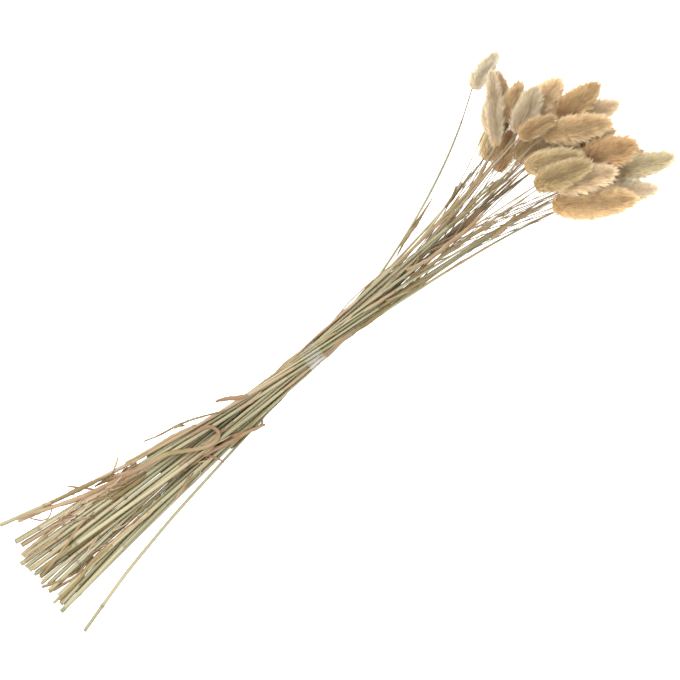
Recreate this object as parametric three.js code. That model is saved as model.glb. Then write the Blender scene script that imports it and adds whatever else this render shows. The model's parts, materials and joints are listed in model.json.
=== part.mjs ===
// A bunch of dried bunny tail grass (Lagurus ovatus), tied at its waist and lying on a flat surface.
// Millimetres. +Z is up, and +X runs along the bunch from the cut ends, past the tie, to the heads.
import * as THREE from 'three';

// ---- Driving dimensions ----

const FOOT_X = -205;             // the stems' cut ends, measured from the tie
const FOOT_SCATTER = 8;          // length over which the cut ends are spread
const FOOT_HEIGHTS = [2, 5];
const SPLAY = 0.005;             // bow of a stem over the square of how far out its cut end lies
const WAIST_HEIGHT = 12;         // middle of the tie above the surface
const FOOT_RADIUS = 1.25;        // stem in its leaf sheaths, at the cut
const MOUTH_RADIUS = 0.85;       // the same at the top sheath's mouth
const MOUTH_STEP = 0.8;          // length over which the mouth ends
const CULM_RADIUS = 0.55;        // bare stem between that mouth and the head
const VIGOUR = [0.72, 1.16];     // thickness of a stem over the usual
const MOUTH_SHARES = [0.84, 0.94];  // place of the top sheath's mouth along a stem
const PINCH = 0.34;              // share of its radius that a stem loses under the tie
const PINCH_REACH = 0.15;        // share of a stem over which that fades
const NODE_SWELL = 1.22;         // a node's radius over the stem's
const NODE_LENGTH = 4;
const NODE_PLACES = [12, 72];    // its distance from the cut end
const STEM_SIDES = 6;
const REAR_STEPS = 5;            // straight stretches of a stem between its cut end and the tie
const FRONT_STEPS = 8;           // the same between the tie and the head
const STEM_STEPS = REAR_STEPS + FRONT_STEPS;
const HEAD_STEPS = 4;            // stretches of a head that are tested for contact
const LOWEST_HEAD = 5;           // height at which the lowest layer of heads starts
const LAYER_HEIGHT = 8;
const NECK_SHARE = 0.3;          // share of a stem's front that lies in line with where it arrives
const NECK_TURN = 1.6;           // its direction there over that of the straight line from the tie
const NOD_SHARE = 0.15;          // share of the head's heading that it takes on
const CURL = 16;                 // degrees, spread of how far the heads bend along their length
const CLEARANCE = 0.3;           // air between neighbours that lie on each other

const WAIST_ROWS = [3, 4, 4, 4, 4, 4, 3];  // stems in each row under the tie, from the lowest up
const WAIST_PITCH = 2;

const HEAD_SKEW = 0.85;          // under 1, a head is widest nearer its lower end
const HEAD_FULLNESS = 0.5;       // under 1, it is blunter than a spindle
const TUFT_RINGS = 13;           // rings of florets along a head
const TUFT_COLUMNS = 16;         // every second point of a ring is a floret's tip
const TUFT_RECESS = 0.78;        // radius between the florets over the radius at their tips
const TUFT_LEAN = 0.85;          // how far a tip leans to the next ring

const TIE_WIDTH = 12;
const TIE_THICKNESS = 0.8;
const TIE_SIDES = 20;
const TIE_MARGIN = 1;            // how far past its edges the stems are held in

const BLADE_THICKNESS = 0.7;
const BLADE_FOLD = 0.25;         // rise of a blade's edges over their distance from its midrib
const BLADE_SLOPE = 0.35;        // steepest rise or fall of a blade along its length
const BLADE_LEAST = 0.25;        // least share of its width that a blade keeps
const BLADE_BLUNTNESS = 0.12;    // share of its taper that is cut away at each end

// ---- The stalks ----
// Each row is one stalk: the place of the head's lower end and its heading in plan, its length and
// diameter, the layer of the heap that it lies in, how far to the left its stem was cut, and its tint.
const STALKS = [
  // x, y, heading, length, diameter, layer, cut, tint
  [184, -30, -30, 40, 11.5, 1, 38, 'sand'],
  [196, -26, -25, 44, 12.5, 2, 25, 'olive'],
  [198, -25, -14, 28, 10.5, 0.5, 24.5, 'tan'],
  [180, -22, -36, 31, 9, 0, 21, 'amber'],
  [162, -18, -40, 49, 15, 2.5, 15.5, 'amber'],
  [170, -14, -22, 36, 12.5, 2.5, 15, 'cream'],
  [187, -11, -17, 37, 15.5, 2, 12, 'tan'],
  [160, -6, -16, 35, 12, 3, 10, 'olive'],
  [196, 0, -19, 26, 10.5, 1, 6.5, 'sand'],
  [163, 5, -24, 35, 11.5, 2, 6, 'olive'],
  [180, 8, -31, 34, 9.5, 1, 3.5, 'umber'],
  [171, 11, -24, 31, 10.5, 1.5, 3.5, 'sand'],
  [201, 12, -22, 32, 12, 1, 0, 'sand'],
  [164, 12, 26, 23, 11, 1, -3, 'amber'],
  [183, 14.5, -28, 40, 12, 3.5, -3.5, 'cream'],
  [196, 15, 4, 36, 13.5, 2, -6.5, 'amber'],
  [151, 14, 32, 27, 9, 0.5, -10, 'umber'],
  [171, 21.5, -9, 25, 10, 4.5, -10, 'tan'],
  [179, 26.5, 10, 35, 15.5, 1, -17, 'tan'],
  [150, 21, 44, 26, 9, 0, -17, 'amber'],
  [172, 27, 19, 30, 11, 3, -20, 'cream'],
  [158, 25, 53, 46, 11, 3, -20, 'cream'],
  [168, 29, 55, 37, 9, 1, -23, 'tan'],
  [172, 32, 37, 27, 9, 1.5, -24, 'amber'],
  [161, 35, 50, 20, 8, 1.5, -23, 'cream'],
  [170, 62, 15, 27, 8.5, 1, -41, 'cream'],
];

const HEAD_COLOURS = {
  cream: 0xd6c6a4,
  sand: 0xc8ab80,
  tan: 0xbf9a6e,
  amber: 0xc4965f,
  umber: 0xa07c50,
  olive: 0xb9a571,
};
const STEM_COLOURS = [0x9c9868, 0xb5ab7c, 0xa89a6b, 0xc2b58c];
const BLADE_COLOUR = 0xb08a63;
const TIE_COLOUR = 0xe4e2da;

const UP = new THREE.Vector3(0, 0, 1);
const random = (seed) => THREE.MathUtils.seededRandom(seed);
const between = ([low, high], seed) => THREE.MathUtils.lerp(low, high, random(seed));

// ---- Laying the stalks out ----

// A stem tapers from its cut end to the mouth of its top leaf sheath, is pressed thinner by the tie,
// and is bare from the mouth on.
function stemRadius(stalk, share) {
  if (share > stalk.mouth) return CULM_RADIUS * stalk.vigour;
  const fromTie = (share - REAR_STEPS / STEM_STEPS) / PINCH_REACH;
  const pressed = 1 - PINCH * Math.exp(-(fromTie ** 2));
  return THREE.MathUtils.lerp(FOOT_RADIUS, MOUTH_RADIUS, share / stalk.mouth) * stalk.vigour * pressed;
}

// A head is blunt at its lower end, widest before its middle, and draws in to a soft point.
function headRadius(diameter, share) {
  return diameter / 2 * Math.sin(Math.PI * Math.min(share, 1) ** HEAD_SKEW) ** HEAD_FULLNESS;
}

function readStalks() {
  return STALKS.map(([x, y, heading, length, diameter, layer, cut, tint], index) => ({
    base: new THREE.Vector3(x, y, LOWEST_HEAD + LAYER_HEIGHT * layer),
    heading: THREE.MathUtils.degToRad(heading),
    foot: new THREE.Vector3(
      FOOT_X + FOOT_SCATTER * (random(index + 1) - 0.5),
      cut,
      between(FOOT_HEIGHTS, index + 31),
    ),
    length,
    diameter,
    layer,
    vigour: between(VIGOUR, index + 61),
    mouth: between(MOUTH_SHARES, index + 91),
    node: between(NODE_PLACES, index + 151),
    curl: THREE.MathUtils.degToRad(CURL * (random(index + 121) - 0.5)),
    tint,
  }));
}

// The stems cross under the tie as straight rods do: those that end lowest on the right are uppermost
// there, and of two in one row the one with the higher head lies further left.
function chooseSlots(stalks) {
  const slope = (stalk) => (stalk.base.y - stalk.foot.y) / (stalk.base.x - stalk.foot.x);
  const bySlope = [...stalks].sort((a, b) => slope(b) - slope(a));
  let first = 0;
  WAIST_ROWS.forEach((count, row) => {
    const members = bySlope.slice(first, first + count).sort((a, b) => a.layer - b.layer);
    first += count;
    members.forEach((stalk, place) => {
      const y = (place - (count - 1) / 2) * WAIST_PITCH;
      const z = (row - (WAIST_ROWS.length - 1) / 2) * WAIST_PITCH * Math.cos(Math.PI / 6);
      stalk.waist = new THREE.Vector3(0, y, WAIST_HEIGHT + z);
    });
  });
}

// The points of one stalk's centre line, from the cut end to the head's tip. The stem bows outwards on
// its way to the head, which nods, and the cut ends that lie furthest out splay.
function layOut(stalk) {
  const reach = stalk.base.distanceTo(stalk.waist);
  const chord = Math.atan2(stalk.base.y - stalk.waist.y, stalk.base.x - stalk.waist.x);
  const arrival = NECK_TURN * chord + NOD_SHARE * stalk.heading;
  const neck = stalk.base.clone();
  neck.x -= NECK_SHARE * reach * Math.cos(arrival);
  neck.y -= NECK_SHARE * reach * Math.sin(arrival);
  const along = neck.clone().sub(stalk.foot).normalize();
  const splay = stalk.foot.clone().lerp(stalk.waist, 1 / 3);
  splay.y -= SPLAY * stalk.foot.y * Math.abs(stalk.foot.y);
  const rear = new THREE.CubicBezierCurve3(
    stalk.foot,
    splay,
    stalk.waist.clone().addScaledVector(along, FOOT_X / 3),
    stalk.waist,
  );
  const front = new THREE.CubicBezierCurve3(
    stalk.waist,
    stalk.waist.clone().addScaledVector(along, reach / 3),
    neck,
    stalk.base,
  );
  const points = [...rear.getPoints(REAR_STEPS), ...front.getPoints(FRONT_STEPS).slice(1)];
  for (let step = 1; step <= HEAD_STEPS; step++) {
    const turn = stalk.heading + stalk.curl * (step - 0.5) / HEAD_STEPS;
    const stride = new THREE.Vector3(Math.cos(turn), Math.sin(turn), 0);
    points.push(points.at(-1).clone().addScaledVector(stride, stalk.length / HEAD_STEPS));
  }
  return points;
}

// ---- Settling the heap ----

const SETTLE_STEPS = 600;
const CALM_AFTER = 400;          // from here on the stalks are only parted
const SINK = 0.03;               // fall of the heads and cut ends in a step
const SQUEEZE = 0.2;             // share of the way to the tie's middle in a step
const GRIP = [[-1, 0.3], [0, 1], [1, 0.5]];  // points from the tie, and the share of that pull on each
const LAYER_PUSH = 0.25;         // how strongly the layer decides which of two stalks goes over the other
const SMOOTHING = 0.25;          // share of its unevenness that a stem loses in a step
const CALM_SMOOTHING = 0.05;
const HOLD = 0.1;                // share of the way back to its place in plan in a step
const NEARBY = 6;                // gap under which two stretches are watched
const SEARCH_EVERY = 20;         // steps between searches for such pairs

function stretches(stalks) {
  const list = [];
  stalks.forEach((stalk, owner) => {
    for (let i = 0; i < STEM_STEPS + HEAD_STEPS; i++) {
      const inHead = i >= STEM_STEPS;
      const share = (i - STEM_STEPS + 0.5) / HEAD_STEPS;
      const edge = (i - STEM_STEPS + (share < 0.5 ? 1 : 0)) / HEAD_STEPS;
      const radius = inHead
        ? Math.max(headRadius(stalk.diameter, share), headRadius(stalk.diameter, edge))
        : Math.max(stemRadius(stalk, i / STEM_STEPS), stemRadius(stalk, (i + 1) / STEM_STEPS));
      list.push({
        owner,
        layer: stalk.layer,
        line: new THREE.Line3(stalk.points[i], stalk.points[i + 1]),
        radius,
      });
    }
  });
  return list;
}

function nearPairs(list) {
  const boxes = list.map(({ line, radius }) => new THREE.Box3()
    .setFromPoints([line.start, line.end]).expandByScalar(radius + NEARBY / 2));
  const pairs = [];
  for (let a = 0; a < list.length; a++) {
    for (let b = a + 1; b < list.length; b++) {
      const strangers = list[a].owner !== list[b].owner;
      if (strangers && boxes[a].intersectsBox(boxes[b])) pairs.push([list[a], list[b]]);
    }
  }
  return pairs;
}

// Moves two stretches apart across the bunch, each by half of what they lack.
function part([a, b], onA, onB) {
  const needed = a.radius + b.radius + CLEARANCE;
  const distance = Math.sqrt(a.line.distanceSqToLine3(b.line, onA, onB));
  if (distance >= needed) return;
  const away = onA.clone().sub(onB).divideScalar(Math.max(distance, 1e-6));
  away.x = 0;
  away.z += LAYER_PUSH * Math.sign(a.layer - b.layer || a.owner - b.owner);
  away.normalize().multiplyScalar((needed - distance) * 0.5);
  for (const [stretch, contact, sign] of [[a, onA, 1], [b, onB, -1]]) {
    const { start, end } = stretch.line;
    const share = contact.distanceTo(start) / start.distanceTo(end);
    const spread = share ** 2 + (1 - share) ** 2;
    start.addScaledVector(away, sign * (1 - share) / spread);
    end.addScaledVector(away, sign * share / spread);
  }
}

// Heads keep their shape: their points move as a straight rod does.
function stiffenHead(stalk) {
  const middle = HEAD_STEPS / 2;
  const mean = new THREE.Vector3();
  const tilt = new THREE.Vector3();
  let weight = 0;
  for (let k = 0; k <= HEAD_STEPS; k++) {
    const shift = stalk.points[STEM_STEPS + k].clone().sub(stalk.home[STEM_STEPS + k]);
    mean.addScaledVector(shift, 1 / (HEAD_STEPS + 1));
    tilt.addScaledVector(shift, k - middle);
    weight += (k - middle) ** 2;
  }
  for (let k = 0; k <= HEAD_STEPS; k++) {
    stalk.points[STEM_STEPS + k].copy(stalk.home[STEM_STEPS + k]).add(mean)
      .addScaledVector(tilt, (k - middle) / weight);
  }
}

// Stems stay smooth: a point's shift follows the shifts of the points beside it.
function smoothStem(stalk, share) {
  const shifts = stalk.points.map((point, i) => point.clone().sub(stalk.home[i]));
  for (let i = 1; i <= STEM_STEPS; i++) {
    const beside = shifts[i - 1].clone().add(shifts[i + 1]).multiplyScalar(0.5);
    stalk.points[i].addScaledVector(beside.sub(shifts[i]), share);
  }
}

function settle(stalks) {
  const list = stretches(stalks);
  const onA = new THREE.Vector3();
  const onB = new THREE.Vector3();
  let pairs = [];
  for (let step = 0; step < SETTLE_STEPS; step++) {
    if (step % SEARCH_EVERY === 0) pairs = nearPairs(list);
    const calm = step >= CALM_AFTER;
    for (const stalk of stalks) {
      if (!calm) {
        for (const [offset, share] of GRIP) {
          const point = stalk.points[REAR_STEPS + offset];
          point.y -= point.y * SQUEEZE * share;
          point.z += (WAIST_HEIGHT - point.z) * SQUEEZE * share;
        }
        stalk.points.forEach((point, i) => {
          if (i > 0 && i < STEM_STEPS) return;
          point.z -= SINK;
          point.y += (stalk.home[i].y - point.y) * HOLD;
        });
      }
      smoothStem(stalk, calm ? CALM_SMOOTHING : SMOOTHING);
      stiffenHead(stalk);
    }
    for (const pair of pairs) part(pair, onA, onB);
    for (const { line, radius } of list) {
      line.start.z = Math.max(line.start.z, radius);
      line.end.z = Math.max(line.end.z, radius);
    }
  }
}

// ---- Shapes along a path ----

function pathLength(path) {
  return path.slice(1).reduce((sum, point, i) => sum + point.distanceTo(path[i]), 0);
}

// The direction of a path at one of its points, between the stretches that meet there.
function directionAt(path, i) {
  const last = path.length - 1;
  const before = path[Math.max(i, 1)].clone().sub(path[Math.max(i, 1) - 1]).normalize();
  const after = path[Math.min(i + 1, last)].clone().sub(path[Math.min(i + 1, last) - 1]).normalize();
  return before.add(after).normalize();
}

// The centre and direction at a distance along a path. The direction turns evenly from point to point.
function locate(path, distance) {
  let i = 0;
  let left = distance;
  while (i < path.length - 2 && left > path[i].distanceTo(path[i + 1])) {
    left -= path[i].distanceTo(path[i + 1]);
    i += 1;
  }
  const share = left / path[i].distanceTo(path[i + 1]);
  return {
    centre: path[i].clone().lerp(path[i + 1], share),
    direction: directionAt(path, i).lerp(directionAt(path, i + 1), share).normalize(),
  };
}

// Wraps a shape that was made straight along +Y round a path: y becomes the distance along it.
function bend(geometry, path) {
  const position = geometry.getAttribute('position');
  for (let i = 0; i < position.count; i++) {
    const { centre, direction } = locate(path, position.getY(i));
    const side = direction.clone().cross(UP).normalize();
    const lift = side.clone().cross(direction);
    centre.addScaledVector(side, position.getX(i)).addScaledVector(lift, position.getZ(i));
    position.setXYZ(i, centre.x, centre.y, centre.z);
  }
  return geometry;
}

// ---- Stems ----

// Turns a list of [radius, distance] into a solid of revolution, closed with flat ends.
function rod(profile, sides) {
  const points = [[0, profile[0][1]], ...profile, [0, profile.at(-1)[1]]];
  return new THREE.LatheGeometry(points.map(([radius, y]) => new THREE.Vector2(radius, y)), sides);
}

function stemGeometry(stalk) {
  const path = stalk.points.slice(0, STEM_STEPS + 1);
  const whole = pathLength(path);
  const marks = path.map((point, i) => pathLength(path.slice(0, i + 1)));
  const shareAt = (distance) => {
    const i = Math.min(marks.findLastIndex((mark) => mark <= distance), STEM_STEPS - 1);
    return (i + (distance - marks[i]) / (marks[i + 1] - marks[i])) / STEM_STEPS;
  };
  const lastStep = Math.floor(stalk.mouth * STEM_STEPS);
  const mouthShare = stalk.mouth * STEM_STEPS - lastStep;
  const mouth = THREE.MathUtils.lerp(marks[lastStep], marks[lastStep + 1], mouthShare);
  const rings = marks.slice(0, -1);
  rings.push(mouth, mouth + MOUTH_STEP, whole - CLEARANCE);
  rings.push(stalk.node - NODE_LENGTH / 2, stalk.node + NODE_LENGTH / 2);
  const profile = rings.map((distance) => [stemRadius(stalk, shareAt(distance)), distance]);
  profile.push([stemRadius(stalk, shareAt(stalk.node)) * NODE_SWELL, stalk.node]);
  profile.sort((a, b) => a[1] - b[1]);
  return bend(rod(profile, STEM_SIDES), path);
}

// ---- Heads ----

// Each ring of a head is half tips of florets and half the hollows between them. A tip leans forward
// over the next ring, and the quads' diagonals are turned so that each floret stands alone.
function headGeometry(stalk) {
  const rows = TUFT_RINGS + 2;
  const spacing = stalk.length / (rows - 1);
  const isPole = (row) => row === 0 || row === rows - 1;
  const isTip = (column, row) => !isPole(row) && (column + row) % 2 === 0;
  const spindle = [];
  for (let row = 0; row < rows; row++) {
    spindle.push(new THREE.Vector2(isPole(row) ? 0 : 1, row * spacing));
  }
  const head = new THREE.LatheGeometry(spindle, TUFT_COLUMNS);
  const position = head.getAttribute('position');
  for (let column = 0; column <= TUFT_COLUMNS; column++) {
    for (let row = 1; row < rows - 1; row++) {
      const i = column * rows + row;
      const y = position.getY(i) + (isTip(column, row) ? TUFT_LEAN * spacing : 0);
      const reach = headRadius(stalk.diameter, y / stalk.length) * (isTip(column, row) ? 1 : TUFT_RECESS);
      position.setXYZ(i, position.getX(i) * reach, y, position.getZ(i) * reach);
    }
  }
  const index = [];
  for (let column = 0; column < TUFT_COLUMNS; column++) {
    for (let row = 0; row < rows - 1; row++) {
      const a = column * rows + row;
      const b = a + rows;
      if (row === 0) index.push(b + 1, a + 1, a);
      else if (row === rows - 2) index.push(a, b, a + 1);
      else if (isTip(column, row)) index.push(a, b, a + 1, b + 1, a + 1, b);
      else index.push(a, b, b + 1, a, b + 1, a + 1);
    }
  }
  head.setIndex(index);
  return bend(head, stalk.points.slice(STEM_STEPS));
}

// ---- The tie ----

// The place along a stem at which the tie's edge lies, where the stem is thickest inside it.
const TIE_EDGE_SHARE = (REAR_STEPS + 0.4) / STEM_STEPS;

// A clear band drawn tight round all the stems: a straight pull across every side of the bundle.
function tieGeometry(stalks) {
  const half = TIE_WIDTH / 2 + TIE_MARGIN;
  const sections = [];
  for (const stalk of stalks) {
    const path = stalk.points.slice(REAR_STEPS - 1, REAR_STEPS + 2);
    for (let x = -half; x <= half; x += half / 3) {
      const [from, to] = x < 0 ? [path[0], path[1]] : [path[1], path[2]];
      const centre = from.clone().lerp(to, (x - from.x) / (to.x - from.x));
      sections.push({ centre, radius: stemRadius(stalk, TIE_EDGE_SHARE) });
    }
  }
  const pull = (angle) => Math.max(...sections.map(({ centre, radius }) => centre.y * Math.cos(angle)
    + centre.z * Math.sin(angle) + radius)) + CLEARANCE;
  const outline = (extra) => {
    const step = 2 * Math.PI / TIE_SIDES;
    return Array.from({ length: TIE_SIDES }, (unused, k) => {
      const [near, far] = [pull(k * step) + extra, pull((k + 1) * step) + extra];
      const [c, s] = [Math.cos(k * step), Math.sin(k * step)];
      const along = (far - near * Math.cos(step)) / Math.sin(step);
      return new THREE.Vector2(near * c - along * s, near * s + along * c);
    });
  };
  const ring = new THREE.Shape(outline(TIE_THICKNESS));
  ring.holes.push(new THREE.Path(outline(0)));
  const band = new THREE.ExtrudeGeometry(ring, { depth: TIE_WIDTH, bevelEnabled: false });
  const [x, y, z] = [new THREE.Vector3(1, 0, 0), new THREE.Vector3(0, 1, 0), UP];
  return band.translate(0, 0, -TIE_WIDTH / 2).applyMatrix4(new THREE.Matrix4().makeBasis(y, z, x));
}

// ---- Dry leaf blades ----
// Each is named after where it lies, with its width and its route in plan, hand placed.
const BLADES = {
  long_folded: { width: 3.2, route: [
    [-192, 34], [-174, 27], [-157, 21], [-138, 16], [-114, 11], [-102, 9], [-90, 2], [-81, -3],
    [-73, -4], [-69, -1], [-70, 4], [-75, 7], [-84, 8]] },
  lower_edge: { width: 2.4, route: [[-85, -6], [-74, -8], [-66, -10], [-56, -11], [-47, -14]] },
  upper_edge: { width: 3, route: [[-60, 14], [-56, 13], [-51, 9], [-44, 6]] },
  thin: { width: 1.3, route: [[-108, 23], [-99, 20], [-83, 17], [-73, 13], [-65, 9.5], [-60, 7]] },
  pointed: { width: 1.8, route: [[-91, 21], [-85, 17], [-80, 11]] },
  small: { width: 2.2, route: [[-114, -15], [-108, -11], [-101, -10], [-93, -10]] },
  sheath: { width: 2.6, route: [[84, 0], [96, 0], [107, 0], [117, 0], [127, 1]] },
};

const BLADE_STRIDE = 7;          // length of a blade's straight stretches
const BLADE_TESTS = 4;           // places in each where it is tested for support

// The lowest height at which a blade clears everything under it at a place in plan.
function supportUnder(place, reach, supports) {
  let height = 0;
  const nearest = new THREE.Vector3();
  const flat = new THREE.Line3();
  for (const { start, end, width, thickness } of supports) {
    flat.set(start.clone().setZ(0), end.clone().setZ(0));
    const share = flat.closestPointToPointParameter(place, true);
    flat.at(share, nearest);
    if (nearest.distanceTo(place) > reach + width) continue;
    height = Math.max(height, THREE.MathUtils.lerp(start.z, end.z, share) + thickness);
  }
  return height;
}

// Lays a blade over what is under its route, no steeper than a dry blade bends, and lowers it until
// it rests there.
function drape({ width, route }, supports) {
  const plan = new THREE.CatmullRomCurve3(route.map(([x, y]) => new THREE.Vector3(x, y, 0)));
  const parts = Math.round(plan.getLength() / BLADE_STRIDE);
  const points = plan.getSpacedPoints(parts * BLADE_TESTS);
  const rest = CLEARANCE + BLADE_THICKNESS / 2;
  const under = points.map((point) => supportUnder(point, width / 2, supports) + rest);
  const fall = BLADE_SLOPE * BLADE_STRIDE / BLADE_TESTS;
  const over = [...under];
  for (let i = 1; i < over.length; i++) over[i] = Math.max(over[i], over[i - 1] - fall);
  for (let i = over.length - 2; i >= 0; i--) over[i] = Math.max(over[i], over[i + 1] - fall);
  const path = [];
  for (let i = 0; i < points.length; i += BLADE_TESTS) {
    path.push(points[i].setZ(Math.max(...over.slice(Math.max(0, i - BLADE_TESTS), i + BLADE_TESTS + 1))));
  }
  const spare = under.map((height, i) => {
    const k = Math.min(Math.floor(i / BLADE_TESTS), parts - 1);
    return THREE.MathUtils.lerp(path[k].z, path[k + 1].z, i / BLADE_TESTS - k) - height;
  });
  const drop = Math.min(...spare);
  path.forEach((point) => point.setZ(point.z - drop));
  return path;
}

// A blade is a thin strip with raised edges that narrows to both its ends.
function bladeGeometry(width, path) {
  const length = pathLength(path);
  const strip = new THREE.BoxGeometry(width, length, BLADE_THICKNESS, 2, path.length - 1, 1);
  strip.translate(0, length / 2, 0);
  const position = strip.getAttribute('position');
  for (let i = 0; i < position.count; i++) {
    const share = position.getY(i) / length;
    const taper = Math.sin(Math.PI * THREE.MathUtils.lerp(BLADE_BLUNTNESS, 1 - BLADE_BLUNTNESS, share));
    const x = position.getX(i) * THREE.MathUtils.lerp(BLADE_LEAST, 1, taper);
    position.setX(i, x);
    position.setZ(i, position.getZ(i) + BLADE_FOLD * Math.abs(x));
  }
  return bend(strip, path);
}

// ---- Assembly ----

const bunch = new THREE.Group();

function add(name, geometry, colour, roughness) {
  const mesh = new THREE.Mesh(geometry, new THREE.MeshStandardMaterial({ color: colour, roughness }));
  mesh.name = name;
  bunch.add(mesh);
}

const stalks = readStalks();
chooseSlots(stalks);
for (const stalk of stalks) {
  stalk.points = layOut(stalk);
  stalk.home = stalk.points.map((point) => point.clone());
}
settle(stalks);

stalks.forEach((stalk, index) => {
  const number = String(index + 1).padStart(2, '0');
  add(`stem_${number}`, stemGeometry(stalk), STEM_COLOURS[index % STEM_COLOURS.length], 0.6);
  add(`head_${number}`, headGeometry(stalk), HEAD_COLOURS[stalk.tint], 0.95);
});
add('tie', tieGeometry(stalks), TIE_COLOUR, 0.25);

const supports = stretches(stalks).map(({ line, radius }) => (
  { start: line.start, end: line.end, width: radius, thickness: radius }));
for (const [name, blade] of Object.entries(BLADES)) {
  const path = drape(blade, supports);
  add(`leaf_${name}`, bladeGeometry(blade.width, path), BLADE_COLOUR, 0.8);
  const rise = BLADE_THICKNESS / 2 + BLADE_FOLD * blade.width / 2;
  path.slice(1).forEach((end, i) => {
    supports.push({ start: path[i], end, width: blade.width / 2, thickness: rise });
  });
}

// The origin goes to the middle of the footprint, on the surface.
const box = new THREE.Box3().setFromObject(bunch);
const middle = box.getCenter(new THREE.Vector3());
bunch.position.set(-middle.x, -middle.y, -box.min.z);

export default bunch;
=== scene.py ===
import json
import math

import bpy
import numpy as np
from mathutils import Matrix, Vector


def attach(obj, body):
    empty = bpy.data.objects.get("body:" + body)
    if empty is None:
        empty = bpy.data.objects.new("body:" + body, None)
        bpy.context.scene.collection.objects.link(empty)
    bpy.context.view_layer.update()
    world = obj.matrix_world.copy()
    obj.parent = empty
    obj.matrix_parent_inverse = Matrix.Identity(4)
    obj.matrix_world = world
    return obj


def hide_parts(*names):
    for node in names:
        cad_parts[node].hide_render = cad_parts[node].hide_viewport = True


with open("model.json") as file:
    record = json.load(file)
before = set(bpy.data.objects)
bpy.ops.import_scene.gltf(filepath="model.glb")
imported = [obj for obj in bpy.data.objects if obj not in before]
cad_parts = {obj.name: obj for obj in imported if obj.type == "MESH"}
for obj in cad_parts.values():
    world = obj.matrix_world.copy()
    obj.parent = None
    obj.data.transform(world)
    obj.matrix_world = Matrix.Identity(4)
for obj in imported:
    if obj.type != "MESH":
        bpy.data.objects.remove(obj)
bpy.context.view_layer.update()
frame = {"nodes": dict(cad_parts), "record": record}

# A tied bunch of dried bunny tail grass (Lagurus ovatus), lying on a pale floor and seen from above.
# Fine stems, fur, leaves and tape take their place, path and thickness from the CAD nodes that they
# replace. Loose strips, shreds, inner leaves and thin culms are laid on and among them.

MM = 0.001
TURN = 2 * math.pi
GOLDEN_ANGLE = math.pi * (3 - math.sqrt(5))
UP = np.array([0.0, 0.0, 1.0])
STALKS = 26

# The first seed of each kind of piece, to which its number is added.
SEEDS = {"stem": 0, "head": 100, "leaf": 200, "strip": 300, "tie": 400, "sheath": 500, "shred": 600,
         "fill": 700, "culm": 800}


def seeded(kind, number=0):
    return np.random.default_rng(SEEDS[kind] + number)


# ---- Camera, floor and light ----

VIEW_CENTRE = (4.6 * MM, -11.9 * MM, 15 * MM)
VIEW_WIDTH = 394.4 * MM
VIEW_TURN = math.radians(-39.17)  # the bunch runs from the lower left to the upper right
LENS = 200.0
SENSOR = 36.0
FAR_CLIP = 20.0
FLOOR_SIZE = 6.0
FLOOR_DROP = 0.4 * MM  # under the object's lowest points
FLOOR_COLOUR = (0.93, 0.93, 0.93, 1)
FLOOR_GLOW = 1.0
WHITE = (1, 1, 1, 1)
SKY_STRENGTH = 1.6
KEY_POWER = 32.0
KEY_SIZE = 1.4
KEY_PLACE = (-0.5, 0.9, 1.6)


def linear(red, green, blue):
    """A linear colour from one given as it looks on a screen, from 0 to 255."""
    shares = [c / 255 for c in (red, green, blue)]
    return tuple(((c + 0.055) / 1.055) ** 2.4 if c > 0.04 else c / 12.92 for c in shares) + (1.0,)


def put(name, data):
    """A new object in the scene."""
    thing = bpy.data.objects.new(name, data)
    bpy.context.scene.collection.objects.link(thing)
    return thing


def make_camera():
    camera = put("camera", bpy.data.cameras.new("camera"))
    camera.data.lens = LENS
    camera.data.sensor_width = SENSOR
    camera.data.clip_end = FAR_CLIP
    distance = VIEW_WIDTH * LENS / SENSOR
    camera.location = (VIEW_CENTRE[0], VIEW_CENTRE[1], VIEW_CENTRE[2] + distance)
    camera.rotation_euler = (0, 0, VIEW_TURN)
    bpy.context.scene.camera = camera


def make_light():
    bpy.context.scene.view_settings.view_transform = "Standard"
    world = bpy.data.worlds.new("studio")
    bpy.context.scene.world = world
    world.use_nodes = True
    sky = world.node_tree.nodes["Background"]
    sky.inputs["Color"].default_value = WHITE
    sky.inputs["Strength"].default_value = SKY_STRENGTH

    key = bpy.data.lights.new("key", "AREA")
    key.energy = KEY_POWER
    key.size = KEY_SIZE
    lamp = put("key", key)
    lamp.location = KEY_PLACE
    aim = np.array(VIEW_CENTRE) - np.array(KEY_PLACE)
    lamp.rotation_euler = Vector(aim).to_track_quat("-Z", "Y").to_euler()


def make_floor():
    half = FLOOR_SIZE / 2
    corners = [(-half, -half, 0), (half, -half, 0), (half, half, 0), (-half, half, 0)]
    mesh = bpy.data.meshes.new("floor")
    mesh.from_pydata(corners, [], [(0, 1, 2, 3)])
    floor = put("floor", mesh)
    floor.location.z = -FLOOR_DROP
    mesh.materials.append(Shader("floor").skin({
        "Base Color": FLOOR_COLOUR, "Roughness": 0.9,
        "Emission Color": WHITE, "Emission Strength": FLOOR_GLOW}))


# ---- Node materials ----

NOISE_DETAIL = 3.0
NOISE_SPAN = (0.3, 0.7)  # most of a noise lies between these


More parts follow.
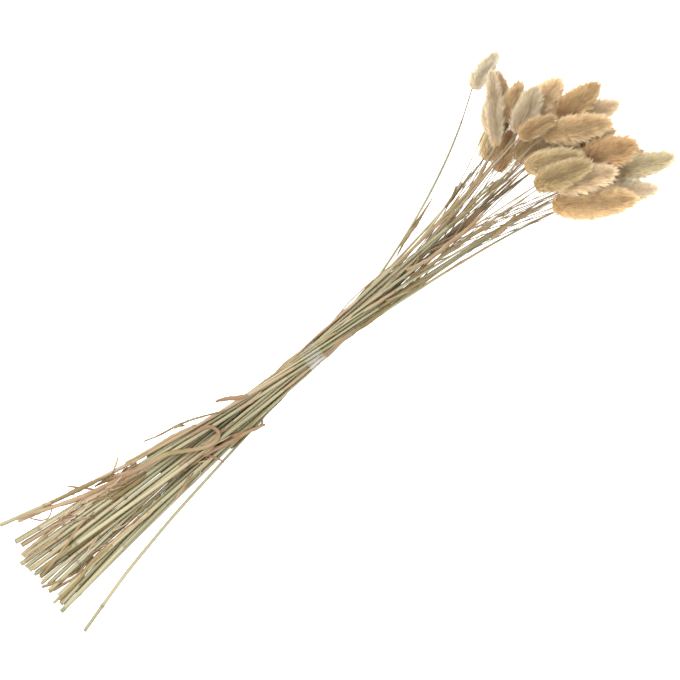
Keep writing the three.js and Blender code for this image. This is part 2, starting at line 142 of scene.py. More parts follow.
class Shader:
    """A node material, built up one node at a time."""

    def __init__(self, name):
        self.material = bpy.data.materials.new(name)
        self.material.use_nodes = True
        self.tree = self.material.node_tree
        self.tree.nodes.clear()

    def fill(self, socket, value):
        """Sets an input, or links it to an output."""
        if isinstance(value, bpy.types.NodeSocket):
            self.tree.links.new(value, socket)
        else:
            socket.default_value = value

    def add(self, kind, inputs=None, **settings):
        """Adds a node, fills its inputs, and returns its first output."""
        node = self.tree.nodes.new(kind)
        for name, value in settings.items():
            setattr(node, name, value)
        for name, value in (inputs or {}).items():
            self.fill(node.inputs[name], value)
        return node.outputs[0] if node.outputs else None

    def attribute(self, name, output="Fac"):
        node = self.tree.nodes.new("ShaderNodeAttribute")
        node.attribute_name = name
        return node.outputs[output]

    def mix(self, share, first, second, blend="MIX"):
        """The two colours mixed."""
        node = self.tree.nodes.new("ShaderNodeMix")
        node.data_type = "RGBA"
        node.blend_type = blend
        for name, value in (("Factor_Float", share), ("A_Color", first), ("B_Color", second)):
            self.fill(next(s for s in node.inputs if s.identifier == name), value)
        return next(s for s in node.outputs if s.identifier == "Result_Color")

    def layers(self, colour, *coats):
        """A colour with others laid over it, each with its share."""
        for share, coat in coats:
            colour = self.mix(share, colour, coat)
        return colour

    def math(self, operation, first, second, clamp=False):
        return self.add("ShaderNodeMath", {0: first, 1: second}, operation=operation, use_clamp=clamp)

    def span(self, value, low, high, to_low=0.0, to_high=1.0):
        """A value's range from low to high, stretched to another range."""
        return self.add("ShaderNodeMapRange", {
            "Value": value, "From Min": low, "From Max": high, "To Min": to_low, "To Max": to_high})

    def noise(self, vector, scale, stretch=(1, 1, 1), detail=NOISE_DETAIL):
        """Noise between 0 and 1 over a vector, drawn out along its axes."""
        drawn = self.add("ShaderNodeMapping", {"Vector": vector, "Scale": stretch})
        return self.add("ShaderNodeTexNoise", {"Vector": drawn, "Scale": scale, "Detail": detail})

    def vary(self, name, noise, reach):
        """A point value that noise moves by up to reach either way, kept from 0 to 1."""
        return self.math("ADD", self.attribute(name), self.span(noise, *NOISE_SPAN, -reach, reach), True)

    def bump(self, height, depth):
        return self.add("ShaderNodeBump", {"Height": height, "Distance": depth, "Strength": 1.0})

    def skin(self, inputs, glow=None):
        """Ends the material with a surface, which may let some light of a colour glow through."""
        surface = self.add("ShaderNodeBsdfPrincipled", inputs)
        if glow is not None:
            through = self.add("ShaderNodeBsdfTranslucent", {"Color": glow})
            surface = self.add("ShaderNodeMixShader", {0: SEE_THROUGH, 1: surface, 2: through})
        self.add("ShaderNodeOutputMaterial", {"Surface": surface})
        return self.material


# Each tint of fur: near the root, along the hair, and at its tip.
# The darker root is partly painted shade deep in the coat, and the paler tip partly painted light through the
# fringe.
FUR = {
    "head_cream": ((200, 164, 112), (238, 216, 176), (250, 241, 220)),
    "head_sand": ((200, 158, 108), (238, 210, 166), (250, 236, 210)),
    "head_tan": ((187, 144, 96), (230, 199, 147), (248, 231, 200)),
    "head_amber": ((188, 142, 88), (232, 198, 143), (248, 231, 194)),
    "head_umber": ((164, 120, 76), (214, 180, 132), (234, 206, 164)),
    "head_olive": ((192, 158, 108), (230, 208, 160), (244, 236, 206)),
}
# A brown for the fur's blotchy stains and browner awns, and for painted shade at the lower ends of crowded
# heads.
FUR_STAIN_AND_SHADE = linear(150, 98, 68)
STRAW_GREEN = linear(112, 113, 80)
STRAW_PALE = linear(160, 150, 118)
STRAW_PINK = linear(146, 120, 92)
STRAW_DARK = linear(76, 60, 38)
LEAF_PALE = linear(180, 160, 128)
LEAF_PINK = linear(152, 120, 86)
LEAF_GREEN = linear(128, 114, 66)
LEAF_DARK = linear(92, 62, 36)

# The scale of each noise, and how it is drawn out along a stem or leaf or round the tie.
FUR_BLOTCHES = 160.0
STRAW_STREAKS = (1300.0, (1, 1, 0.014))
STRAW_PATCHES = (60.0, (1, 1, 0.5))
LEAF_VEINS = (1400.0, (1, 1, 0.02))
LEAF_PATCHES = (90.0, (1, 1, 0.6))
LEAF_BURNS = (220.0, (1, 1, 0.4))
TAPE_CREASES = (260.0, (0.4, 1, 1))

# The range of a noise, or of the way up a hair, that shows, and how strongly at its two ends.
HAIR_SHOWS = (0.0, 0.55)
TIP_SHOWS = (0.5, 1.0)
BLOTCH_SHOWS = (0.56, 0.75, 0.0, 0.3)
STREAK_SHOWS = (0.44, 0.28, 0.0, 0.65)
VEIN_SHOWS = (0.46, 0.3, 0.0, 0.5)
BURN_SHOWS = (0.54, 0.74, 0.0, 0.45)
CREASE_SHOWS = (0.4, 0.7, 0.1, 0.45)

FUR_TONES = (0.79, 1.1)  # brightness of the darkest and the palest hairs
FUR_WHITENESS = 0.6  # how far the light that comes through hair is whitened
SEE_THROUGH = 0.2  # share of light that comes through hair and leaf
RIB_DEPTH = 0.12 * MM
VEIN_DEPTH = 0.1 * MM
CREASE_DEPTH = 0.4 * MM
STRAW_ROUGHNESS = (0.62, 0.42)
LEAST_HAZE = 0.02
TINTS = ("red", "green", "blue")


def fur_material(name):
    """Soft dry hair, faintly see-through: darker at the root, partly painted shade, and paler at the tip,
    partly painted light.
    """
    root, middle, tip = (linear(*tint) for tint in FUR[name])
    fur = Shader(name)
    rise = fur.attribute("rise")
    blotch = fur.noise(fur.add("ShaderNodeNewGeometry"), FUR_BLOTCHES, detail=2.0)
    # Over the hair's colour lie blotchy stains, then each point's own brown: real on awns, painted shade at
    # heads' lower ends.
    colour = fur.layers(
        root, (fur.span(rise, *HAIR_SHOWS), middle), (fur.span(rise, *TIP_SHOWS), tip),
        (fur.span(blotch, *BLOTCH_SHOWS), FUR_STAIN_AND_SHADE), (fur.attribute("stain"), FUR_STAIN_AND_SHADE))
    tone = fur.span(fur.attribute("shade"), 0.0, 1.0, *FUR_TONES)
    tints = [fur.math("MULTIPLY", tone, fur.attribute(channel)) for channel in TINTS]
    tint = fur.add("ShaderNodeCombineColor", dict(enumerate(tints)))
    colour = fur.mix(1.0, colour, tint, "MULTIPLY")
    glow = fur.mix(FUR_WHITENESS, colour, WHITE)
    return fur.skin({"Base Color": colour, "Roughness": 0.8, "Specular IOR Level": 0.2}, glow)


def straw_material():
    """Dry stems: ribbed along their length, green where young and pink-brown where a sheath is old."""
    straw = Shader("straw")
    grain = straw.attribute("grain", "Vector")
    streak = straw.noise(grain, *STRAW_STREAKS)
    patch = straw.noise(grain, *STRAW_PATCHES)
    colour = straw.layers(
        STRAW_GREEN, (straw.vary("pale", streak, 0.5), STRAW_PALE),
        (straw.vary("pink", patch, 0.25), STRAW_PINK),
        (straw.span(streak, *STREAK_SHOWS), STRAW_DARK), (straw.attribute("dark"), STRAW_DARK))
    return straw.skin({
        "Base Color": colour, "Roughness": straw.span(streak, *NOISE_SPAN, *STRAW_ROUGHNESS),
        "Normal": straw.bump(streak, RIB_DEPTH)})


def leaf_material():
    """Papery leaf: thin, veined along its length, pink-brown with pale and burnt patches."""
    leaf = Shader("papery_leaf")
    grain = leaf.attribute("grain", "Vector")
    vein = leaf.noise(grain, *LEAF_VEINS)
    patch = leaf.noise(grain, *LEAF_PATCHES)
    burn = leaf.noise(grain, *LEAF_BURNS)
    colour = leaf.layers(
        LEAF_PINK, (leaf.vary("pale", patch, 0.35), LEAF_PALE), (leaf.attribute("green"), LEAF_GREEN),
        (leaf.span(vein, *VEIN_SHOWS), LEAF_DARK), (leaf.span(burn, *BURN_SHOWS), LEAF_DARK),
        (leaf.attribute("dark"), LEAF_DARK))
    normal = leaf.bump(vein, VEIN_DEPTH)
    return leaf.skin({"Base Color": colour, "Roughness": 0.6, "Normal": normal}, colour)


def tape_material():
    """Clear tape: nearly see-through and glossy, with a whitish painted sheen over one flank that the creases
    break up.
    """
    tape = Shader("clear_tape")
    crease = tape.noise(tape.add("ShaderNodeNewGeometry"), *TAPE_CREASES)
    painted_sheen = tape.math("MULTIPLY", tape.attribute("painted_sheen"), tape.span(crease, *CREASE_SHOWS))
    return tape.skin({
        "Base Color": (0.86, 0.86, 0.84, 1), "Roughness": 0.22, "Alpha": tape.math("ADD", painted_sheen, LEAST_HAZE),
        "Normal": tape.bump(crease, CREASE_DEPTH)})


# ---- Reading the frame ----

WELD = 0.001 * MM  # points closer than this are one
LEAF_END = 6  # points of the section that ends a leaf node


def neighbours(node):
    """A node's points, each once, and for each point the set of those it shares an edge with."""
    mesh = frame["nodes"][node].data
    corners = np.empty(len(mesh.vertices) * 3)
    mesh.vertices.foreach_get("co", corners)
    corners = corners.reshape(-1, 3)
    keys = np.round(corners / WELD).astype(int)
    _, first, place = np.unique(keys, axis=0, return_index=True, return_inverse=True)
    place = place.ravel()
    touching = [set() for _ in first]
    for edge in mesh.edges:
        a, b = (int(place[v]) for v in edge.vertices)
        if a != b:
            touching[a].add(b)
            touching[b].add(a)
    return corners[first], touching


def walk(touching, level):
    """The points in levels, each level one step further than the one before it."""
    seen = set(level)
    levels = []
    while level:
        levels.append(sorted(level))
        level = {near for point in level for near in touching[point]} - seen
        seen |= level
    return levels


def sections_of(node, end_size=1):
    """The points of each cross-section of a node, from end to end, and their middles."""
    points, touching = neighbours(node)
    end = walk(touching, {0})[-1][0]
    away = np.linalg.norm(points - points[end], axis=1)
    levels = walk(touching, set(np.argsort(away)[:end_size].tolist()))
    sections = [points[level] for level in levels]
    return sections, np.array([section.mean(0) for section in sections])


def unit(vectors):
    return vectors / np.maximum(np.linalg.norm(vectors, axis=-1, keepdims=True), 1e-12)


def run_along(points):
    """How far along a line each of its points is."""
    return np.concatenate([[0], np.cumsum(np.linalg.norm(np.diff(points, axis=0), axis=1))])


def sample(places, marks, points):
    """A line's points at these places, from those that it has at its marks."""
    return np.stack([np.interp(places, marks, axis) for axis in points.T], -1)


def stretch(row, shares):
    """A row of values spread evenly from 0 to 1, read at these shares."""
    return np.interp(shares, np.linspace(0, 1, len(row)), row)


class Path:
    """A smooth line in space, with an upright frame at every distance along it."""

    def __init__(self, points, step, reach):
        marks = run_along(points)
        self.length = marks[-1]
        count = max(int(self.length / step), 8)
        self.marks = np.linspace(0, self.length, count + 1)
        even = sample(self.marks, marks, points)
        margin = min(int(3 * reach / step) + 1, count)
        before = 2 * even[0] - even[margin:0:-1]
        after = 2 * even[-1] - even[-2:-margin - 2:-1]
        padded = np.concatenate([before, even, after])
        weights = np.exp(-0.5 * (np.arange(-margin, margin + 1) * step / reach) ** 2)
        weights /= weights.sum()
        self.centres = np.stack([np.convolve(axis, weights, "valid") for axis in padded.T], 1)
        self.aheads = unit(np.gradient(self.centres, axis=0))

    def frame(self, along):
        """The centre, the direction, the level side and the lift at each distance."""
        inside = np.clip(along, 0, self.length)
        centre = sample(inside, self.marks, self.centres)
        ahead = unit(sample(inside, self.marks, self.aheads))
        side = unit(np.cross(ahead, UP))
        lift = np.cross(side, ahead)
        return centre + ahead * (along - inside)[..., None], ahead, side, lift

    def place(self, along, angle, radius):
        """The points at these distances, at an angle and a radius round the line."""
        centre, _, side, lift = self.frame(along)
        across = side * np.cos(angle)[..., None] + lift * np.sin(angle)[..., None]
        return centre + across * radius[..., None]


# ---- Meshes ----

class Build:
    """Collects points, faces and point values, and makes one mesh object of them."""

    def __init__(self):
        self.points = []
        self.triangles = []
        self.values = {}
        self.count = 0

    def add(self, points, triangles, **values):
        """Adds a body. Each named value is a number, a row of numbers or a row of vectors."""
        self.points.append(points)
        self.triangles.append(np.asarray(triangles) + self.count)
        for name, value in values.items():
            value = np.asarray(value, float)
            shape = (len(points), 3) if value.ndim == 2 else (len(points),)
            self.values.setdefault(name, []).append(np.broadcast_to(value, shape))
        self.count += len(points)

    def make(self, name, material, replaces=None, smooth=True):
        points = np.concatenate(self.points)
        triangles = np.concatenate(self.triangles)
        mesh = bpy.data.meshes.new(name)
        mesh.vertices.add(len(points))
        mesh.vertices.foreach_set("co", points.ravel())
        mesh.loops.add(triangles.size)
        mesh.loops.foreach_set("vertex_index", triangles.ravel())
        mesh.polygons.add(len(triangles))
        mesh.polygons.foreach_set("loop_start", np.arange(0, triangles.size, 3))
        mesh.polygons.foreach_set("use_smooth", np.full(len(triangles), smooth))
        for key, parts in self.values.items():
            value = np.concatenate(parts)
            kind = "FLOAT_VECTOR" if value.ndim == 2 else "FLOAT"
            layer = mesh.attributes.new(key, kind, "POINT")
            layer.data.foreach_set("vector" if value.ndim == 2 else "value", value.ravel())
        mesh.update(calc_edges=True)
        mesh.materials.append(material)
        piece = put(name, mesh)
        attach(piece, "root")
        if replaces:
            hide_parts(replaces)


def spread(value, shape):
    """A value for each point of a grid, row by row, from a number or from one for each row."""
    value = np.asarray(value, float)
    return np.broadcast_to(value[:, None] if value.ndim == 1 else value, shape).ravel()


def grid_triangles(rows, columns):
    """Triangles between neighbouring rows, with the last column joined to the first."""
    row, column = np.meshgrid(np.arange(rows - 1), np.arange(columns), indexing="ij")
    a = row * columns + column
    b = row * columns + (column + 1) % columns
    c, d = a + columns, b + columns
    return np.concatenate([np.stack([a, d, b], -1).reshape(-1, 3), np.stack([a, c, d], -1).reshape(-1, 3)])


def cap_triangles(start, columns, pole, flip):
    """A fan from a ring's points to its pole."""
    ring = start + np.arange(columns)
    after = start + (np.arange(columns) + 1) % columns
    fan = np.stack([np.full(columns, pole), ring, after], 1)
    return fan[:, ::-1] if flip else fan


def add_tube(build, path, along, radius, columns, twist=0.0, **values):
    """A closed tube round a path. radius has a row for each distance, and may vary round the tube."""
    angle = TURN * np.arange(columns) / columns + twist
    radius = np.broadcast_to(radius if radius.ndim == 2 else radius[:, None], (len(along), columns))
    distance = np.broadcast_to(along[:, None], radius.shape)
    turn = np.broadcast_to(angle, radius.shape)
    rings = path.place(distance, turn, radius)
    ends = path.frame(np.array([along[0], along[-1]]))[0]
    points = np.concatenate([rings.reshape(-1, 3), ends])
    count = rings.shape[0] * columns
    triangles = np.concatenate([
        grid_triangles(len(along), columns),
        cap_triangles(0, columns, count, False),
        cap_triangles(count - columns, columns, count + 1, True),
    ])
    grain = np.stack([radius * np.cos(turn), radius * np.sin(turn), distance], -1).reshape(-1, 3)
    ends_grain = np.array([[0, 0, along[0]], [0, 0, along[-1]]])
    full = {name: np.concatenate([spread(value, radius.shape), np.atleast_1d(value)[[0, -1]]])
            for name, value in values.items()}
    build.add(points, triangles, grain=np.concatenate([grain, ends_grain]), **full)


# ---- Stems ----

STEM_PATH = (2 * MM, 7 * MM)  # step and smoothing of a path
STEM_COLUMNS = 12
STEM_STEP = 4.0 * MM
DETAIL_STEP = 0.5 * MM
DETAIL_REACH = 3.0 * MM
MARK_GRID = 0.1  # to which distances are rounded, in millimetres
LEAST_STEP = 0.1 * MM
STEM_RUN = 2 * MM  # how far a stem runs on into its head
STEM_RADIUS = 0.95  # radius of a stem over that of the frame's
STEM_FULLNESS = {26: 1.2}  # stems that are thicker than that
STEM_ROLL = 0.1  # how far a sheath's edge stands off
BARE = {26}  # stems that have lost their sheaths
BARE_SHARE = 0.72  # thickness of a bare culm over that of the frame's
NECK_PLACES = (60 * MM, 110 * MM)
NECK_SHARES = (1.0, 0.8)  # thickness there over that of the frame's
JOINTS = (0.25, 0.8, 2)  # from and to which share of the way to the mouth, and how many
JOINT_STEP = 0.03  # how much thinner a stem gets past a joint
JOINT_EASE = 0.4 * MM
MOUTH_EDGE = 0.5 * MM
HOLLOW = 1.5 * MM  # how deep a cut end is hollow
CUT_RADII = np.array([0.5, 0.62, 1])  # of the hollow's bottom, its rim and the stem there
FLOOR_AIR = 0.02 * MM  # under stems and blades

# Colour values in each stretch of a stem, from the foot's bulge past the joints and the mouth.
ZONES = 5
CULM_ZONE = 4
PINK_LEVELS = [0.0, 0.15, 0.35, 0.8]
PINK_ODDS = [0.5, 0.25, 0.15, 0.1]
CULM_PINK = 0.6
PALE_MOST = 0.7
# Paler towards the cut ends: partly the straw's own colour and partly painted light, since the crowded middle
# of the bunch lies in shade.
FOOT_PALE_AND_LIGHT = 0.2
FOOT_REACH = 60 * MM
BULGE_DARK = (0.45, 0.9 * MM)  # how dark, and how far along
EDGE_DARK = (0.3, 0.6 * MM)
# Painted shade inside the hollow cut end, on its bottom and on its rim.
HOLLOW_SHADE = (0.9, 0.6)
BARE_DARK = 0.5


def stem_marks(length, details):
    """Distances along a stem: even steps, with finer ones round each detail."""
    marks = [np.arange(0, length, STEM_STEP), [length]]
    for detail in details:
        marks.append(np.arange(detail - DETAIL_REACH, detail + DETAIL_REACH, DETAIL_STEP))
    marks = np.unique(np.round(np.concatenate(marks) / (MARK_GRID * MM)) * MARK_GRID * MM)
    return marks[(marks >= 0) & (marks <= length)]


def read_stem(number):
    """A stem's path, and the distance and radius of each of its cross-sections."""
    sections, centres = sections_of(f"stem_{number:02d}")
    if centres[0, 0] > centres[-1, 0]:
        sections.reverse()
        centres = centres[::-1]
    radii = np.array([np.linalg.norm(s - c, axis=1).mean() for s, c in zip(sections, centres)])
    return Path(centres, *STEM_PATH), run_along(centres)[1:-1], radii[1:-1]


def dark_ring(along, place, depth, reach):
    return depth * np.exp(-((along - place) / reach) ** 2)


def stem_tones(rng, along, bulge, joints, mouth, bare):
    """How pink, pale and dark a stem is at each distance, with painted shade in the hollow of its cut end and
    partly painted light towards its foot.
    """
    zones = np.searchsorted([bulge, *joints, mouth], along)
    pink = rng.choice(PINK_LEVELS, ZONES, p=PINK_ODDS)[zones]
    pink[zones == CULM_ZONE] = CULM_PINK
    # Paler towards the foot: partly painted light against the shaded, crowded middle.
    pale = rng.uniform(0.0, PALE_MOST, ZONES)[zones] + FOOT_PALE_AND_LIGHT * np.exp(-along / FOOT_REACH) - 0.05
    dark = dark_ring(along, bulge, *BULGE_DARK)
    for edge in [*joints, mouth]:
        dark = np.maximum(dark, dark_ring(along, edge, *EDGE_DARK))
    if bare:
        pink[zones < CULM_ZONE] = 0
        dark = dark + BARE_DARK * (zones == CULM_ZONE)
    # Painted shade in the hollow of the cut end.
    dark[:2] = HOLLOW_SHADE
    return {"pink": pink, "pale": pale, "dark": dark}


def make_stem(number, straw, leaf, heap):
    """A stem with its joints, the mouth of its sheath and a hollow cut end, and its torn sheaths."""
    rng = seeded("stem", number)
    bare = number in BARE
    path, places, radii = read_stem(number)
    slopes = np.diff(radii) / np.maximum(np.diff(places), LEAST_STEP)
    mouth = places[np.argmin(np.where(places[:-1] > 0.5 * path.length, slopes, 0))]
    bulge = places[1:-1][np.argmax(radii[1:-1] - 0.5 * (radii[:-2] + radii[2:]))]
    joints = np.sort(rng.uniform(*JOINTS)) * mouth
    along = stem_marks(path.length + STEM_RUN, [bulge, mouth, *joints])
    radius = np.interp(along, places, radii) * STEM_RADIUS * STEM_FULLNESS.get(number, 1)
    for joint in joints:
        radius = radius * (1 - JOINT_STEP * np.tanh((along - joint) / JOINT_EASE))
    along = np.concatenate([[HOLLOW, 0, 0], along[1:]])
    radius = np.concatenate([radius[0] * CUT_RADII, radius[1:]])
    if not bare:
        radius = radius * np.where(along > mouth + MOUTH_EDGE, BARE_SHARE, 1)
        radius = radius * np.interp(path.frame(along)[0][:, 0], NECK_PLACES, NECK_SHARES)
    rolled = radius[:, None] * (1 + STEM_ROLL * (np.arange(STEM_COLUMNS) / STEM_COLUMNS))
    tones = stem_tones(rng, along, bulge, joints, mouth, bare)
    build = Build()
    add_tube(build, path, along, rolled, STEM_COLUMNS, rng.uniform(0, TURN), **tones)
    build.points[0][:, 2] = np.maximum(build.points[0][:, 2], FLOOR_AIR)
    build.make(f"fine_stem_{number:02d}", straw, f"stem_{number:02d}")
    heap.add(path, along[2:], radius[2:])
    if not bare:
        make_sheaths(number, path, along[2:], radius[2:], mouth, leaf)
    return path


# ---- Heads ----

HEAD_PATH = (1 * MM, 3 * MM)
HEAD_CUT = 1.5  # how much shorter the surface is, in fringes
FRINGE = 2.6 * MM  # how far the hairs stand out past the head's surface
COMMON_WIDTH = 12 * MM
SIZE_POWER = 0.4  # how much longer the hairs are on a wider head
CORE_SHARE = 0.88  # radius of the solid middle over the surface's
CORE_ROWS = (0.015, 0.96, 24)  # from and to which share of the length, and how many
CORE_COLUMNS = 18
CORE_LUMPS = 5
LUMP_SIZE = 0.03
LUMP_TWIST = 40
HAIR_AREA = 0.1 * MM ** 2  # of a head's surface, for each hair
HAIR_LENGTH = 6.0 * MM
HAIR_SHARES = (0.45, 0.8, 1.5)  # least length, range of length, and how rare long hairs are
HAIR_WIDTH = 0.1 * MM
HAIR_ROLL = 1.2
HAIR_CURVE = 0.07  # how far a hair's middle stands off, over its length
HAIR_SHIFT = 0.4  # scatter of the roots along the head, in millimetres
HAIR_LIFT = 0.22  # how far a hair stands away from the surface, in radians
HAIR_SPREAD = 0.19
SURFACE_SHARE = 0.8  # how far hairs follow the slope of the surface
STRAY_SHARE = 0.34  # of the hairs, those that stand well away from the head
AWN_AREA = 12 * MM ** 2
AWN_LENGTH = 9.0 * MM
AWN_WIDTH = 0.12 * MM
REST = 0.6 * MM  # under this height, hairs are pressed flat by the surface
REST_LOW = 0.1 * MM

# How each head departs from the common form: how pointed it is, how pale and how warm in colour.
# Paleness and warmth are partly each head's own colour and partly painted light and shade: darker and warmer
# for heads in shade among others, as 11 and 18, paler to paint light on a head that the heap shades, as 19.
HEAD_FORM = {
    1: (0.75, 1.16, -1.3), 2: (0.5, 1.03, -0.5), 3: (0.6, 0.84, 0.3), 4: (0.7, 0.95, 0.2),
    5: (0.6, 1.02, 0.1), 6: (0.6, 1.0, 0.8), 7: (0.5, 0.9, 1.4), 8: (0.6, 0.73, 1.6),
    9: (0.6, 1.04, -0.2), 10: (0.6, 0.88, 1.0), 11: (0.6, 0.56, 1.8), 12: (0.6, 0.68, 1.2),
    13: (0.75, 1.07, -0.4), 14: (0.6, 0.88, 0.6), 15: (0.6, 0.82, 2.0), 16: (0.9, 0.84, 0.9),
    17: (0.6, 1.15, 0.0), 18: (0.8, 0.67, 1.5), 19: (0.7, 1.16, -0.4), 20: (0.6, 1.2, -1.8),
    21: (0.6, 0.83, 0.2), 22: (0.65, 0.78, 0.3), 23: (0.7, 0.87, 0.2), 24: (0.6, 0.95, 0.1),
    25: (0.6, 0.95, 0.1), 26: (0.8, 0.99, -1.1),
}
WARM = (0.03, -0.03, -0.12)  # how warmth changes red, green and blue
HEAD_SLIM = {2: 0.88, 18: 0.85, 22: 0.7, 26: 1.1}  # width over that of the frame's
HEAD_WAIST = {26: 0.4}  # how far a head is drawn in above its lowest florets
HEAD_BASE_SHADE = {2: 0.6, 11: 0.7, 16: 0.6, 17: 0.4, 12: 0.5}  # how much painted shade browns its lower end, where it lies against other heads
BASE_SHADE_REACH = 7 * MM
LOWER_BLUNTNESS = 0.42
WAIST_PLACE = 0.42
WAIST_REACH = 0.1


class Outline:
    """A head's surface: blunt below, widest before its middle, and more or less pointed."""

    def __init__(self, diameter, length, taper, waist):
        self.length = length
        self.share = np.linspace(0, 1, 400)
        form = self.share ** LOWER_BLUNTNESS * (1 - self.share) ** taper
        form = form * (1 - waist * np.exp(-((self.share - WAIST_PLACE) / WAIST_REACH) ** 2))
        self.form = diameter / 2 * form / form.max()
        step = length / (len(self.share) - 1)
        self.slope = np.gradient(self.form, step)
        band = math.pi * (self.form[1:] + self.form[:-1]) * np.hypot(np.diff(self.form), step)
        self.rank = np.concatenate([[0], np.cumsum(band)])
        self.area = self.rank[-1]

    def radius(self, share):
        return np.interp(share, self.share, self.form)

    def tilt(self, share):
        """The angle between the surface and the head's line, outwards below and inwards above."""
        return np.arctan(np.interp(share, self.share, self.slope))

    def scatter(self, ranks):
        """Shares of the length that lie evenly over the surface, for ranks from 0 to 1."""
        return np.interp(ranks * self.area, self.rank, self.share)


def read_head(number, stem):
    """A head's path from its lower end to its tip, and its diameter."""
    sections, centres = sections_of(f"head_{number:02d}")
    top = stem.centres[-1]
    if np.linalg.norm(centres[0] - top) > np.linalg.norm(centres[-1] - top):
        sections.reverse()
        centres = centres[::-1]
    reach = max(np.linalg.norm(s - c, axis=1).max() for s, c in zip(sections, centres))
    return Path(centres, *HEAD_PATH), 2 * reach


def add_hairs(build, root, ahead, outward, length, width, rng, **values):
    """Adds a curved hair at each root: a closed sliver, pointed at both ends."""
    count = len(root)
    across = unit(np.cross(ahead, outward))
    over = np.cross(across, ahead)
    tip = root + ahead * length[:, None]
    middle = root + ahead * 0.5 * length[:, None] + over * HAIR_CURVE * length[:, None]
    roll = rng.uniform(-HAIR_ROLL, HAIR_ROLL, count)[:, None]
    arm = across * np.cos(roll) + over * np.sin(roll)
    arm = arm * (0.5 * width * rng.uniform(0.7, 1.3, count))[:, None]
    points = np.stack([root, middle - arm, middle + arm, tip], 1).reshape(-1, 3)
    first = 4 * np.arange(count)[:, None, None]
    triangles = (np.array([[0, 2, 1], [1, 2, 3], [0, 1, 3], [0, 3, 2]]) + first).reshape(-1, 3)
    build.add(points, triangles, grain=np.zeros((4 * count, 3)), **values)


def lean(path, along, angle, lift, drift):
    """The direction that leaves the line by an angle of lift, turned sideways by drift."""
    _, ahead, side, up = path.frame(along)
    outward = side * np.cos(angle)[:, None] + up * np.sin(angle)[:, None]
    sideways = np.cross(ahead, outward)
    way = ahead * np.cos(lift)[:, None] + outward * np.sin(lift)[:, None] + sideways * drift[:, None]
    return unit(way), outward


def ripple(angle, along, rng, size):
    """A smooth random value over a head's surface, about as large as the given size."""
    value = 0
    for _ in range(4):
        turns = rng.integers(1, 5)
        value = value + np.sin(turns * angle + along / (rng.uniform(1.0, 3.0) * MM) + rng.uniform(0, TURN))
    return size * value / 2


def add_core(build, path, outline, tint):
    """The lumpy solid middle of a head, which shows between the hairs."""
    share = np.linspace(*CORE_ROWS)
    waves = CORE_LUMPS * TURN * np.arange(CORE_COLUMNS)[None, :] / CORE_COLUMNS + LUMP_TWIST * share[:, None]
    radius = CORE_SHARE * outline.radius(share)[:, None] * (1 + LUMP_SIZE * np.sin(waves))
    along = share * outline.length
    # The core takes the darker colour near the roots, partly painted shade deep in the coat.
    add_tube(build, path, along, radius, CORE_COLUMNS, rise=0.3, shade=0.5, stain=0.1, **tint)


def add_coat(build, path, outline, scale, brown, tint, rng):
    """The dense coat of a head: short hairs that point forwards, with strays among them."""
    length = outline.length
    count = int(outline.area / HAIR_AREA)
    along = outline.scatter((np.arange(count) + 0.5) / count) * length + rng.normal(0, HAIR_SHIFT, count) * MM
    along = np.clip(along, 0.2 * MM, length)
    turn = GOLDEN_ANGLE * np.arange(count) + rng.normal(0, 0.3, count)
    depth = rng.uniform(0.84, 1.0, count) * outline.radius(along / length)
    start = path.place(along, turn, depth)
    lift = outline.tilt(along / length) * SURFACE_SHARE + HAIR_LIFT + ripple(turn, along, rng, 0.03)
    stray = rng.random(count) < STRAY_SHARE
    lift = lift + np.abs(rng.normal(0, 0.15, count)) + stray * rng.uniform(0.1, 0.65, count)
    drift = ripple(turn, along, rng, 0.05) + rng.normal(0, HAIR_SPREAD, count)
    ahead, outward = lean(path, along, turn, np.clip(lift, -0.7, 1.3), drift)
    least, longer, rarity = HAIR_SHARES
    size = HAIR_LENGTH * scale * (least + longer * rng.random(count) ** rarity)
    size = size * np.interp(along / length, [0, 0.25, 1], [0.55, 1, 1])
    shade = 0.5 + ripple(turn, along, rng, 0.14) + rng.uniform(-0.3, 0.3, count)
    # Painted shade: the lower end of a head is browned where it lies against other heads.
    stain = brown * np.exp(-(along / BASE_SHADE_REACH) ** 2) * rng.uniform(0.5, 1, count)
    add_hairs(build, start, ahead, outward, size, HAIR_WIDTH, rng, rise=np.tile([0.1, 0.6, 0.6, 1.0], count),
              shade=np.repeat(shade, 4), stain=np.repeat(stain, 4), **tint)


def add_awns(build, path, outline, scale, tint, rng):
    """A few longer and browner bristles that stand out through the coat."""
    count = int(outline.area / AWN_AREA)
    place = outline.scatter(rng.random(count))
    along = place * outline.length
    turn = rng.uniform(0, TURN, count)
    start = path.place(along, turn, 0.85 * outline.radius(place))
    lift = outline.tilt(place) * SURFACE_SHARE + 0.35 + rng.normal(0, 0.1, count)
    ahead, outward = lean(path, along, turn, np.clip(lift, -0.6, 0.9), rng.normal(0, 0.15, count))
    size = AWN_LENGTH * scale * rng.uniform(0.6, 1.05, count)
    add_hairs(build, start, ahead, outward, size, AWN_WIDTH, rng, rise=0.5, shade=0.4,
              stain=np.repeat(rng.uniform(0.1, 0.6, count), 4), **tint)


